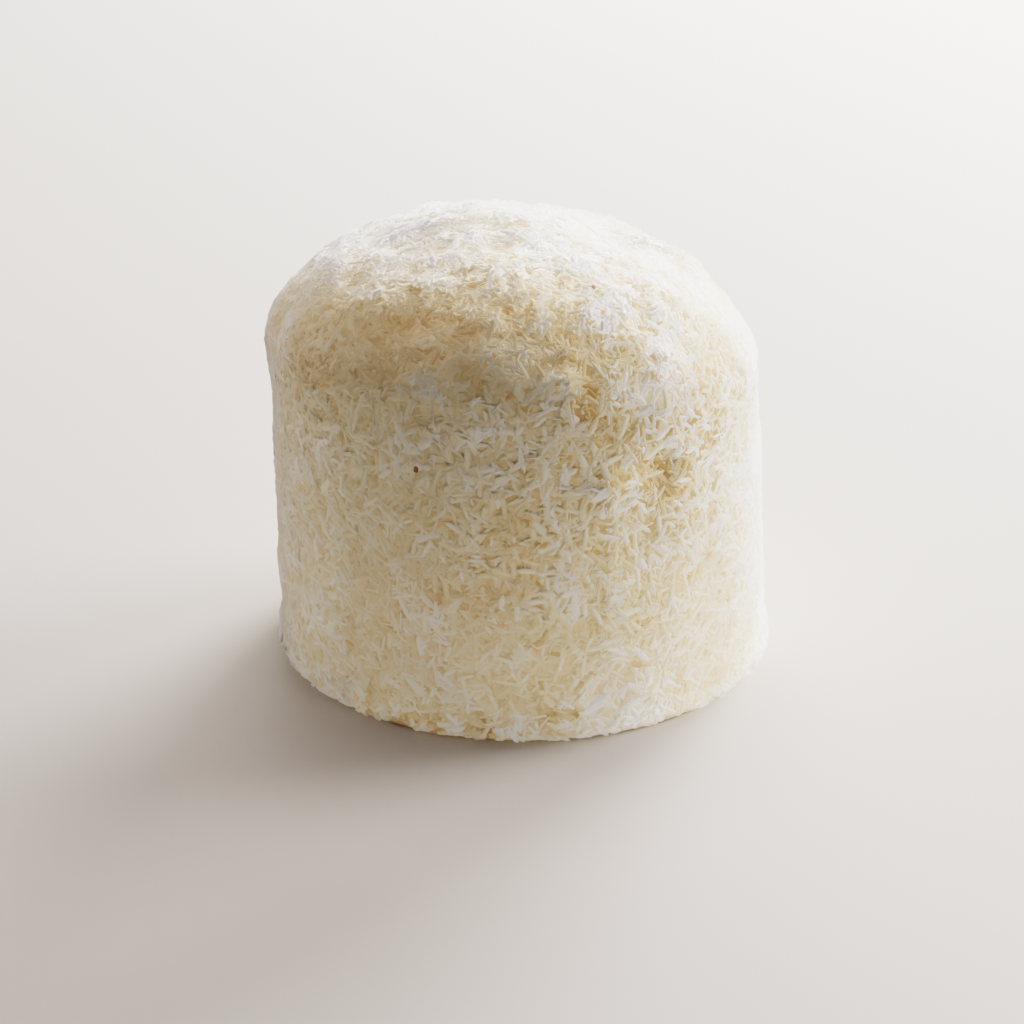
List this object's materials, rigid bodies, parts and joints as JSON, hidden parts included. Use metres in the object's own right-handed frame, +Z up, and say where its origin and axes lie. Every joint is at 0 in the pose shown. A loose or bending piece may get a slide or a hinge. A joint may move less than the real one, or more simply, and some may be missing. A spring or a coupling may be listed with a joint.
{
  "type": "coconut meringue cake",
  "caption": "Small drum-shaped meringue cake with a low domed top, coated all over in grated coconut, standing on a flat base.",
  "frame": {"origin": "on the flat base, under the middle of the cake's outline", "axes": "+Z up from the base to the top, -Y towards the side that the picture shows, +X to its right"},
  "size_m": [0.0852, 0.0836, 0.076],
  "materials": {
    "coconut_coat": null
  },
  "bodies": {
    "root": {"cake": "coconut_coat"}
  },
  "joints": []
}
